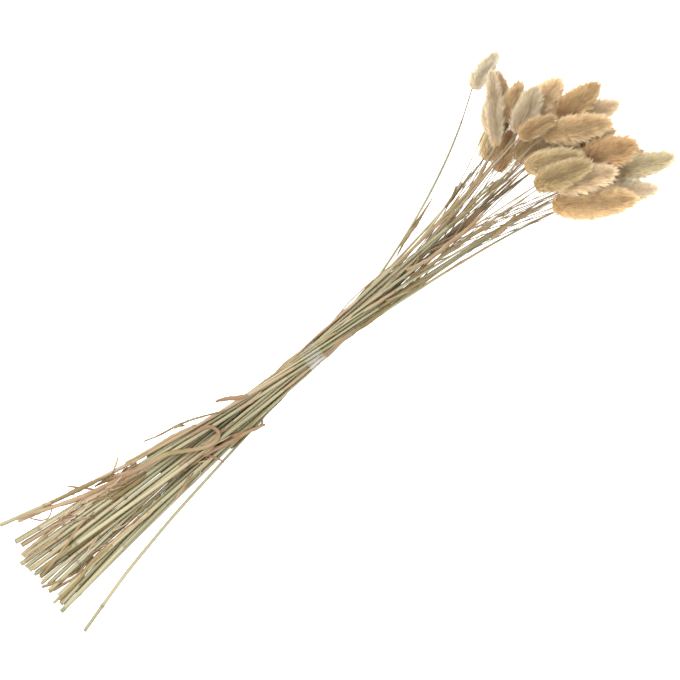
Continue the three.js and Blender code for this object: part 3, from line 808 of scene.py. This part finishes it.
def make_head(number, stem, material):
    """A furry head along its node, pressed flat where it lies on the surface."""
    rng = seeded("head", number)
    path, diameter = read_head(number, stem)
    diameter = diameter * HEAD_SLIM.get(number, 1)
    taper, tone, warmth = HEAD_FORM[number]
    # The tint's paleness and warmth are partly painted light and shade.
    tint = dict(zip(TINTS, tone * (1 + warmth * np.array(WARM))))
    outline = Outline(diameter - FRINGE, path.length - HEAD_CUT * FRINGE, taper, HEAD_WAIST.get(number, 0))
    scale = (diameter / COMMON_WIDTH) ** SIZE_POWER
    build = Build()
    add_core(build, path, outline, tint)
    add_coat(build, path, outline, scale, HEAD_BASE_SHADE.get(number, 0), tint, rng)
    add_awns(build, path, outline, scale, tint, rng)
    for points in build.points:
        low = points[:, 2] < REST
        room = REST - REST_LOW
        points[low, 2] = REST_LOW + room * np.exp((points[low, 2] - REST) / room)
    build.make(f"fur_{number:02d}", material, f"head_{number:02d}", smooth=False)


# ---- Dry leaf blades and loose sheaths ----

BLADE_THICKNESS = 0.16 * MM
BLADE_COLUMNS = 7
BLADE_STEP = 1.4 * MM
BLADE_AIR = 0.15 * MM  # between a blade and what it lies on
BLADE_SLOPE = 0.45  # steepest rise or fall of a blade along its length
RAGGED = 0.08  # how unevenly wide a blade is
TORN = 1.1  # how uneven its ends are, in millimetres
FLAT = 1e-3  # a smaller arch counts as this
SUPPORT_STEP = 1.0 * MM
DRAPE_PLAN = 2.5 * MM  # smoothing of a draped route in plan, and of its height
DRAPE_RISE = 1.5 * MM


def blade_rows(path, step=BLADE_STEP):
    return max(int(path.length / step), 6)


def add_blade(build, path, widths, arch, rng, ragged=RAGGED, twist=0.0, step=BLADE_STEP, **values):
    """A thin strip along a path. arch is the angle that each half of it bends down by, across."""
    rows = blade_rows(path, step)
    along = np.linspace(0, path.length, rows)
    share = along / path.length
    width = stretch(widths, share)
    bend = arch * (1 + 0.25 * np.sin(9 * share + rng.uniform(0, 6)))[:, None]
    across = np.linspace(-1, 1, BLADE_COLUMNS)[None, :]
    sides = 1 + ragged * rng.normal(0, 1, (rows, 2))
    half = 0.5 * width[:, None] * np.where(across < 0, sides[:, :1], sides[:, 1:])
    turn = bend * across
    bend = np.where(abs(bend) < FLAT, FLAT, bend)
    sideways = half * np.sin(turn) / bend
    lowered = 0.5 * width[:, None] * (np.cos(turn) - 1) / bend
    tear = np.zeros((rows, BLADE_COLUMNS))
    tear[0] = -rng.uniform(0, TORN, BLADE_COLUMNS) * MM
    tear[-1] = rng.uniform(0, TORN, BLADE_COLUMNS) * MM
    roll = twist * (share - 0.5)[:, None, None]
    centre, ahead, side, lift = (part[:, None, :] for part in path.frame(along))
    level = side * np.cos(roll) + lift * np.sin(roll)
    up = lift * np.cos(roll) - side * np.sin(roll)
    top = centre + ahead * tear[..., None] + level * sideways[..., None] + up * lowered[..., None]
    normal = level * np.sin(turn)[..., None] + up * np.cos(turn)[..., None]
    bottom = top - normal * BLADE_THICKNESS
    bottom[..., 2] = np.maximum(bottom[..., 2], FLOOR_AIR)
    top[..., 2] = np.maximum(top[..., 2], FLOOR_AIR + BLADE_THICKNESS)
    points = np.concatenate([top, bottom[:, ::-1]], 1).reshape(-1, 3)
    columns = 2 * BLADE_COLUMNS
    last = (rows - 1) * columns
    triangles = [grid_triangles(rows, columns)]
    for a in range(BLADE_COLUMNS - 1):
        b, c, d = a + 1, columns - 2 - a, columns - 1 - a
        triangles.append([[a, b, c], [a, c, d]])
        triangles.append([[last + a, last + c, last + b], [last + a, last + d, last + c]])
    distance = np.broadcast_to(along[:, None], (rows, columns))
    place = np.concatenate([sideways, sideways[:, ::-1]], 1)
    grain = np.stack([place, np.zeros_like(place), distance + rng.uniform(0, 0.3)], -1).reshape(-1, 3)
    full = {name: spread(value, (rows, columns)) for name, value in values.items()}
    build.add(points, np.concatenate(triangles)[:, ::-1], grain=grain, **full)


class Heap:
    """What lies in the heap so far, as points with a radius, to lay loose pieces on."""

    def __init__(self):
        self.points = []
        self.radii = []

    def add(self, path, places, radii):
        along = np.arange(0, path.length, SUPPORT_STEP)
        self.points.append(path.frame(along)[0])
        self.radii.append(np.interp(along, places, radii))

    def top(self, places, reach):
        """The height that clears everything within a reach of each place."""
        points = np.concatenate(self.points)
        radii = np.concatenate(self.radii)
        away = np.linalg.norm(places[:, None, :2] - points[None, :, :2], axis=2)
        beside = np.maximum(away - reach, 0)
        rise = points[None, :, 2] + np.sqrt(np.maximum(radii ** 2 - beside ** 2, 0))
        return np.where(away < radii + reach, rise, 0).max(1)

    def drape(self, route, reach, rise=0.0):
        """A path over a route in plan, as low as a dry blade can lie there."""
        level = np.array([(x * MM, y * MM, 0) for x, y in route])
        plan = Path(level, SUPPORT_STEP, DRAPE_PLAN).centres.copy()
        over = self.top(plan, reach) + BLADE_AIR + BLADE_THICKNESS
        fall = BLADE_SLOPE * SUPPORT_STEP
        for i in range(1, len(over)):
            over[i] = max(over[i], over[i - 1] - fall)
        for i in range(len(over) - 2, -1, -1):
            over[i] = max(over[i], over[i + 1] - fall)
        plan[:, 2] = over + rise
        return Path(plan, SUPPORT_STEP, DRAPE_RISE)


# Loose blades and torn sheaths, one by one: the route in plan and the width, in millimetres, then how
# far each is arched, its paleness, greenness and darkness, and its twist.
STRIPS = {
    "sheath_outer": ([(-207, 25), (-196, 22), (-187, 19), (-178, 14), (-170, 11), (-161, 8), (-150, 6)],
        [3.4, 3.6, 2.6, 1.6, 1.4, 1.6, 0.8], 0.5, 0.55, 0, 0, 0.4),
    "sheath_loop": ([(-201, 21), (-198, 17), (-194, 14), (-191, 15), (-188, 18)],
        [0.9, 1.1, 1, 0.9, 0.6], 0.3, 0.4, 0, 0.2, 1.2),
    "shred_dark": ([(-173, 23), (-168, 18), (-162, 12), (-159, 7), (-154, 4)],
        [0.8, 1.3, 1.2, 1.6, 0.9], 0.5, 0.1, 0, 0.5, 0.8),
    "papery_upper": ([(-160, 12), (-149, 10), (-140, 6), (-130, 3), (-122, 1)],
        [1.4, 3.4, 3, 3.6, 1.6], 0.7, 0.3, 0, 0.15, 1),
    "papery_middle": ([(-173, 10), (-163, 8), (-155, 7), (-146, 5), (-136, 2)],
        [1.2, 2.8, 3.2, 2.2, 1], 0.6, 0.6, 0, 0, -0.9),
    "papery_lower": ([(-172, 5), (-164, 4), (-155, 3), (-143, 1), (-132, 0)],
        [0.8, 1.4, 1.8, 1.4, 0.8], 0.6, 0.1, 0, 0.4, 0.8),
    "twisted_brown": ([(-125, -13), (-115, -14), (-104, -14), (-96, -14), (-88, -12), (-80, -9)],
        [0.8, 1.9, 2.2, 1.6, 2, 0.8], 0.8, 0.15, 0, 0.25, 2.6),
    "ring": ([(-106, -14), (-101, -17), (-98, -19), (-95.5, -18.5), (-96, -16.5), (-98.5, -16.5)],
        [0.9, 0.9, 0.8, 0.8, 0.7, 0.5], 0.4, 0.9, 0, 0, 1.5),
    "lower_end": ([(-80, -15.5), (-73.5, -18.2), (-67, -20.5), (-61.5, -22.5), (-59.8, -22), (-60.2, -20)],
        [1.6, 2.4, 2.2, 2.6, 2.2, 1.4], 0.7, 0.15, 0, 0.3, 0.5),
    "hook": ([(-126, -23), (-122, -21), (-118, -20), (-111, -18)], [1.3, 1.5, 1.1, 0.6], 0.7, 0, 0, 0.5, 1),
    "golden_wide": ([(-217, -26), (-202, -24), (-189, -21), (-174, -20)],
        [2.6, 3.8, 4.4, 4.6], 1.25, 0.4, 0.7, 0, 0.2),
    "lilac_inner": ([(-176, -20), (-160, -19.5), (-149, -20.5), (-136, -19.5)],
        [2.6, 2.4, 2, 0.8], 1, 0.75, 0, 0.1, 0.5),
    "fork_upper": ([(-221, -14), (-210, -18), (-199, -20), (-187, -19)],
        [2, 1.8, 2, 1.4], 0.9, 0.3, 0.35, 0.2, 0.3),
    "fork_lower": ([(-219, -19), (-210, -20.5), (-200, -22), (-192, -19)],
        [2, 2, 1.8, 1.2], 0.9, 0.2, 0.4, 0.25, 0.3),
    "fork_left": ([(-218, -9), (-207, -7), (-194, -4), (-183, 0), (-170, 1)],
        [2.4, 2.8, 2.2, 2, 1], 1, 0.35, 0.4, 0.15, 0.4),
    "pale_cover": ([(-137, 11), (-122, 8.5), (-107, 6.5), (-92, 3)],
        [2.2, 2.6, 2.4, 1.6], 1.1, 0.8, 0.5, 0.1, 0.2),
    "jagged": ([(-13, -2), (-4, -1.5), (1, -1), (8, -1)], [1, 1.4, 1.2, 0.6], 0.6, 1, 0, 0, 0.8),
    "torn_pink": ([(-9, -12.5), (2, -12.5), (15, -12.5)], [1.6, 2.4, 1.4], 1, 0.1, 0, 0.2, 0.4),
    "green_broad": ([(13, -13.5), (23, -14.5), (30, -14.5), (39, -14.5)],
        [1.8, 3.2, 2.8, 2], 1, 0.1, 0.9, 0.3, 0.4),
    "pink_bar": ([(26, -8), (36, -9), (47, -10)], [1.4, 2, 1.4], 1.1, 0.3, 0, 0, 0.2),
    "pale_end": ([(40, -11.5), (50, -14), (61, -17)], [1.2, 1.5, 1], 0.8, 0.8, 0.3, 0, 0.4),
    "open_mouth": ([(60, -5), (66, -6.5), (75, -8.5)], [2.2, 2.8, 2.4], 1.25, 0.35, 0, 0.1, 0.1),
    "orange_long": ([(73, -4.5), (86, -6), (96, -6), (104, -6), (117, -5)],
        [1.8, 3.4, 3.4, 2.8, 1.8], 1.1, 0.1, 0, 0.05, 0.3),
    "blunt_wide": ([(110, -21.5), (119, -21.5), (129, -21)], [3.6, 4.2, 4], 1.3, 0.55, 0.55, 0.05, 0.1),
    "upper_strip": ([(61, 5), (71, 9.5), (80, 12), (89, 15), (98, 18)],
        [0.8, 1.8, 2.8, 1.8, 0.8], 0.6, 0.35, 0.35, 0.1, 0.7),
    "upper_mouth": ([(86, 4), (92, 4), (101, 4)], [2, 2.4, 1.6], 1.2, 0.3, 0.1, 0.2, 0.2),
    "strand": ([(7, -1), (23, 2), (39, 3), (53, 3)], [0.6, 0.9, 0.8, 0.6], 0.5, 0.9, 0.2, 0, 0.5),
    "sheath_left": ([(-218, 8), (-205, 8), (-193, 8), (-180, 7), (-168, 5)],
        [2.6, 2.8, 2.4, 2, 1], 0.9, 0.7, 0.1, 0, 0.3),
    "sheath_small": ([(-219, 4), (-208, 4), (-197, 4), (-186, 4)],
        [1.4, 1.8, 1.6, 0.8], 0.8, 0.45, 0.1, 0.1, 0.4),
    "hair_left": ([(-179, 38.5), (-180, 41), (-178, 42.5), (-175, 40.5), (-172, 35), (-168, 28),
        (-163, 21), (-158, 15)], [0.3, 0.3, 0.32, 0.3, 0.3], 0.2, 1, 0, 0, 0.5),
    "hair_right": ([(-117, -23), (-111, -23), (-107, -21), (-104, -17)],
        [0.3, 0.4, 0.4, 0.3], 0.2, 0.8, 0, 0.2, 0.5),
}
STRIP_REACH = 0.3  # how near a stem has to be to carry a strip, over its width


def make_strips(heap, material):
    for number, (name, (route, widths, arch, pale, green, dark, twist)) in enumerate(STRIPS.items()):
        rng = seeded("strip", number)
        widths = np.array(widths) * MM
        path = heap.drape(route, STRIP_REACH * widths.max())
        build = Build()
        add_blade(build, path, widths, arch, rng, twist=twist, pale=pale, green=green, dark=dark)
        build.make(f"strip_{name}", material)


SHEATHS = 3  # torn sheaths round a stem
SHEATH_PATH = (1 * MM, 1 * MM)
SHEATH_ROWS = 24
SHEATH_AIR = 0.2 * MM
MOUTH_STARTS = (0.9, 0.97)  # of the first sheath, over the distance of the mouth
OTHER_STARTS = (0.0, 0.85)


def make_sheaths(number, path, along, radius, mouth, material):
    """Torn sheaths: each wraps a stem's upper side and stands off at its loose end."""
    rng = seeded("sheath", number)
    build = Build()
    for part in range(SHEATHS):
        start = mouth * rng.uniform(*(OTHER_STARTS if part else MOUTH_STARTS))
        length = rng.uniform(12, 42) * MM
        places = np.linspace(start, min(start + length, path.length), SHEATH_ROWS)
        share = np.linspace(0, 1, SHEATH_ROWS)
        snug = np.interp(places, along, radius)
        loose = np.maximum(share - rng.uniform(0.4, 0.8), 0) ** 1.5
        centre, _, side, lift = path.frame(places)
        away = rng.choice([-1, 1]) * rng.uniform(1, 5) * MM * loose
        rise = snug + SHEATH_AIR + rng.uniform(0, 3) * MM * loose
        route = centre + side * away[:, None] + lift * rise[:, None]
        arch = rng.uniform(0.9, 1.5)
        reach = 2 * arch * (snug.mean() + SHEATH_AIR) * rng.uniform(0.8, 1.25)
        widths = reach * np.array([0.7, 1, 1, 0.9, rng.uniform(0.15, 0.8)])
        add_blade(build, Path(route, *SHEATH_PATH), widths, arch, rng, pale=rng.choice([0.2, 0.5, 0.9]),
                  green=rng.choice([0.0, 0.4, 0.8]), dark=rng.choice([0.0, 0.1, 0.3]))
    build.make(f"sheaths_{number:02d}", material)


# How pale, green and dark each leaf of the frame is along its length, and its arch and twist.
# Last come the least widths of its two ends, over its own.
LEAVES = {
    "leaf_long_folded": ([0.2, 0.1, 0.4, 0.7, 0.7, 0.2, 0.1, 0.3, 0.5, 0.4, 0.3],
                         [0, 0, 0.3, 0.8, 0.6, 0, 0, 0, 0, 0, 0],
                         [0.3, 0.4, 0.1, 0, 0, 0.3, 0.4, 0.2, 0, 0, 0.1], 0.6, 0.3, 0.3, 0.6),
    "leaf_lower_edge": ([0.2, 0.1, 0.2], [0.2, 0, 0], [0.1, 0.2, 0.5], 0.8, 0.6, 0.3, 1.25),
    "leaf_upper_edge": ([0.1, 0.1], [0, 0.2], [0.3, 0.4], 0.6, 1.2, 1.0, 0.3),
    "leaf_thin": ([0.3, 0.2], [0.7, 0.4], [0.4, 0.4], 0.2, 0.2, 0.9, 0.7),
    "leaf_pointed": ([0.5, 0.4], [0.6, 0.4], [0.2, 0.1], 0.6, 0.8, 0.5, 0.5),
    "leaf_small": ([0.3, 0.6], [0.1, 0.2], [0.4, 0.1], 0.8, 1.4, 0.5, 0.5),
    "leaf_sheath": ([0.1, 0.1, 0.3], [0, 0, 0.3], [0.1, 0.1, 0.1], 1.0, 0.2, 0.7, 0.7),
}
LEAF_PATH = (1 * MM, 2.5 * MM)
LEAF_WIDEST = 1.2  # over its usual width
WIDTH_COUNT = 9
END_SHARES = [0, 0.2, 0.8, 1]  # between which the least widths of the ends hold


def make_leaf(name, material, number):
    """A fine curled blade along the middle of a leaf node, as wide as the node."""
    rng = seeded("leaf", number)
    sections, centres = sections_of(name, LEAF_END)
    widths = np.array([np.linalg.norm(s[:, None] - s[None], axis=2).max() for s in sections])
    widths = np.minimum(widths, LEAF_WIDEST * np.median(widths))
    shares = np.linspace(0, 1, WIDTH_COUNT)
    widths = stretch(widths, shares) * rng.uniform(0.85, 1.15, WIDTH_COUNT)
    *tones, arch, twist, first, last = LEAVES[name]
    widths = np.maximum(widths, np.median(widths) * np.interp(shares, END_SHARES, [first, 0, 0, last]))
    path = Path(centres, *LEAF_PATH)
    places = np.linspace(0, 1, blade_rows(path))
    pale, green, dark = (stretch(tone, places) for tone in tones)
    build = Build()
    add_blade(build, path, widths, arch, rng, twist=twist, pale=pale, green=green, dark=dark)
    build.make(f"fine_{name}", material, name)


# Places where the papery sheaths have frayed: the middle and its spread in plan, and how many shreds.
SHREDS = {
    "outer": ((-153, 7), (10, 2), 20),
    "loop": ((-186, 10), (6, 2), 7),
    "twisted": ((-106, -13), (8, 1), 6),
    "fork": ((-182, -17), (8, 2), 6),
    "neck": ((62, -6), (7, 1), 4),
}
SHRED_REACH = 0.3 * MM
SHRED_STEPS = 8


def make_shreds(heap, material):
    """Short curled shreds of dry sheath, scattered over the stems."""
    for number, (name, (middle, scatter, count)) in enumerate(SHREDS.items()):
        rng = seeded("shred", number)
        build = Build()
        for _ in range(count):
            length = rng.uniform(6, 18)
            run = np.linspace(0, length, SHRED_STEPS)
            heading = rng.normal(-0.1, 0.22) + rng.normal(0, 0.045) * run
            steps = np.stack([np.cos(heading), np.sin(heading)], 1) * length / SHRED_STEPS
            route = np.array(middle) + rng.normal(0, 1, 2) * scatter + np.cumsum(steps, 0)
            path = heap.drape(route, SHRED_REACH, rng.uniform(0, 1.5) * MM)
            widths = rng.uniform(0.5, 2.0) * MM * np.array([0.6, 1, rng.uniform(0.6, 1.2), 0.3])
            add_blade(build, path, widths, rng.uniform(0.4, 1.2), rng, 0.2, rng.normal(0, 1.5),
                      pale=rng.choice([0.1, 0.4, 0.8]), green=rng.choice([0.0, 0.0, 0.4]),
                      dark=rng.choice([0.0, 0.1, 0.4]))
        build.make(f"shreds_{name}", material)


CULM_COUNT = 38
CULM_RADIUS = 0.27 * MM
CULM_START = (10 * MM, 75 * MM)  # where they part from the sheaths
CULM_PATH = (1.5 * MM, 3 * MM)
CULM_STEP = 3 * MM
CULM_COLUMNS = 6
CULM_SCATTER = 2  # of their ends inside the heads, in millimetres
CULM_RUN = 5  # how far they run into the heads
CULM_FLOOR = 1 * MM


def make_culms(stems, material):
    """Thin bare culms of the stalks inside the bunch, from among the sheaths up into the heads."""
    rng = seeded("culm")
    build = Build()
    for _ in range(CULM_COUNT):
        first, second = (stems[i] for i in rng.choice(len(stems) - 1, 2, replace=False))
        line = first.centres[np.argsort(first.centres[:, 0])]
        start = rng.uniform(*CULM_START)
        low = sample(start, line[:, 0], line)
        top = second.centres[-1] + rng.normal(0, CULM_SCATTER, 3) * MM + second.aheads[-1] * CULM_RUN * MM
        way = np.linspace(0, 1, 9)[:, None]
        ahead = np.array([1.0, 0, 0]) * np.linalg.norm(top - low)
        bend = way * (1 - way) ** 2 * ahead - way ** 2 * (1 - way) * second.aheads[-1] * ahead[0]
        route = low + (top - low) * way ** 2 * (3 - 2 * way) + bend
        route[:, 2] = np.maximum(route[:, 2], CULM_FLOOR)
        path = Path(route, *CULM_PATH)
        along = np.arange(0, path.length, CULM_STEP)
        radius = CULM_RADIUS * rng.uniform(0.8, 1.3) * np.linspace(1.15, 0.85, len(along))
        add_tube(build, path, along, radius, CULM_COLUMNS, pink=rng.choice([0.3, 0.6, 0.9]),
                 pale=rng.uniform(0.1, 0.6), dark=rng.uniform(0, 0.3))
    build.make("thin_culms", material)


FILL_SPAN = (-125 * MM, 28 * MM)  # stretch that is packed with dry leaf
FILL_LENGTH = 34 * MM
FILL_PITCH = 0.6  # from the start of one length to the next, over the length
FILL_GAP = 3.8 * MM  # widest gap between stems that holds a leaf
FILL_OVERLAP = 1.0 * MM
FILL_FLOOR = 0.8 * MM
FILL_PATH = (1 * MM, 2 * MM)
FILL_STEP = 4 * MM
FILL_ROWS = 12


def make_fill(stems, material):
    """Flat dry leaves caught between neighbouring stems, low in the bunch, darkened with painted shade."""
    rng = seeded("fill")
    build = Build()
    for start in np.arange(*FILL_SPAN, FILL_PITCH * FILL_LENGTH):
        places = start + np.linspace(0, FILL_LENGTH, FILL_ROWS)
        lines = []
        for stem in stems:
            line = stem.centres[np.argsort(stem.centres[:, 0])]
            if line[0, 0] < places[0] and line[-1, 0] > places[-1]:
                lines.append(sample(places, line[:, 0], line))
        lines.sort(key=lambda line: line[FILL_ROWS // 2, 1])
        for first, second in zip(lines, lines[1:]):
            gap = np.abs(first[:, 1] - second[:, 1]).max()
            if gap > FILL_GAP:
                continue
            route = 0.5 * (first + second)
            route[:, 2] = np.maximum(np.minimum(first[:, 2], second[:, 2]), FILL_FLOOR)
            widths = (gap + FILL_OVERLAP) * np.array([0.2, 1, 1, 0.15])
            # Their darkness is painted shade between the stems.
            add_blade(build, Path(route, *FILL_PATH), widths, 0.3, rng, 0.1, rng.normal(0, 0.3), FILL_STEP,
                      pale=rng.choice([0.1, 0.5]), green=rng.choice([0.3, 0.8]), dark=rng.choice([0.2, 0.5]))
    build.make("inner_leaves", material)


# ---- The tie ----

TIE_COLUMNS = 160
TIE_ROWS = 15
TIE_FILM = 0.08 * MM
TIE_AIR = 0.3 * MM  # inside the tape
TIE_WRINKLE = 0.25 * MM
TIE_WAVES = (7, 13, 22, 37)  # of each wrinkle round the tie
TIE_EDGE = 0.7 * MM
TIE_EDGE_WAVES = 5
TIE_SMOOTHING = 9
CORNER_WIDTH = 0.02  # in radians


def make_tie(material):
    """Clear tape drawn round the stems, finely wrinkled, with both its edges uneven."""
    rng = seeded("tie")
    points = neighbours("tie")[0]
    low, high = points[:, 0].min(), points[:, 0].max()
    across, upward = points[:, 1:].mean(0)
    angle = np.arctan2(points[:, 2] - upward, points[:, 1] - across)
    radius = np.hypot(points[:, 1] - across, points[:, 2] - upward)
    around = TURN * np.arange(TIE_COLUMNS) / TIE_COLUMNS - math.pi
    corners = np.unique(np.round(angle, 2))
    least = [radius[np.abs(angle - corner) < CORNER_WIDTH].min() for corner in corners]
    inner = np.interp(around, corners, least, period=TURN)
    half = TIE_SMOOTHING // 2
    kernel = np.ones(TIE_SMOOTHING) / TIE_SMOOTHING
    inner = np.convolve(np.concatenate([inner[-half:], inner, inner[:half]]), kernel, "valid")
    share = np.linspace(0, 1, TIE_ROWS)[:, None]
    wrinkle = np.zeros((TIE_ROWS, TIE_COLUMNS))
    for turns in TIE_WAVES:
        wrinkle = wrinkle + np.sin(turns * around[None, :] + rng.uniform(1, 4) * share + rng.uniform(0, 6))
    radii = inner[None, :] + TIE_AIR + TIE_WRINKLE * wrinkle / len(TIE_WAVES)
    edge = TIE_EDGE * np.sin(TIE_EDGE_WAVES * around + 1)[None, :] * (share - 0.5)
    along = low + (high - low) * share + edge
    inside, outside = (
        np.stack([along, across + reach * np.cos(around), upward + reach * np.sin(around)], -1)
        for reach in (radii, radii + TIE_FILM))
    rows = np.concatenate([outside, inside[::-1]])
    triangles = grid_triangles(len(rows) + 1, TIE_COLUMNS) % (len(rows) * TIE_COLUMNS)
    # Painted sheen: whitish over one flank of the tape, fading towards its two edges.
    painted_sheen = np.clip(0.1 - 0.8 * np.cos(around), 0, 1)[None, :] * np.sin(math.pi * share) ** 0.7
    build = Build()
    build.add(rows.reshape(-1, 3), triangles[:, ::-1], painted_sheen=np.concatenate([painted_sheen, painted_sheen[::-1]]).ravel())
    build.make("clear_tape", material, "tie")


# ---- Making everything ----

make_camera()
make_light()
make_floor()

straw_skin = straw_material()
leaf_skin = leaf_material()
tape_skin = tape_material()
furs = {name: fur_material(name) for name in FUR}
slots = {part["node"]: part["material_slot"] for part in frame["record"]["subparts"]}

heap = Heap()
stems = []
for stalk in range(1, STALKS + 1):
    stems.append(make_stem(stalk, straw_skin, leaf_skin, heap))
    head_slot = slots[f"head_{stalk:02d}"]
    make_head(stalk, stems[-1], furs[head_slot])

leaves = sorted(name for name in frame["nodes"] if name.startswith("leaf_"))
for position, leaf_name in enumerate(leaves):
    make_leaf(leaf_name, leaf_skin, position)
make_strips(heap, leaf_skin)
make_shreds(heap, leaf_skin)
make_fill(stems, leaf_skin)
make_culms(stems, straw_skin)
make_tie(tape_skin)
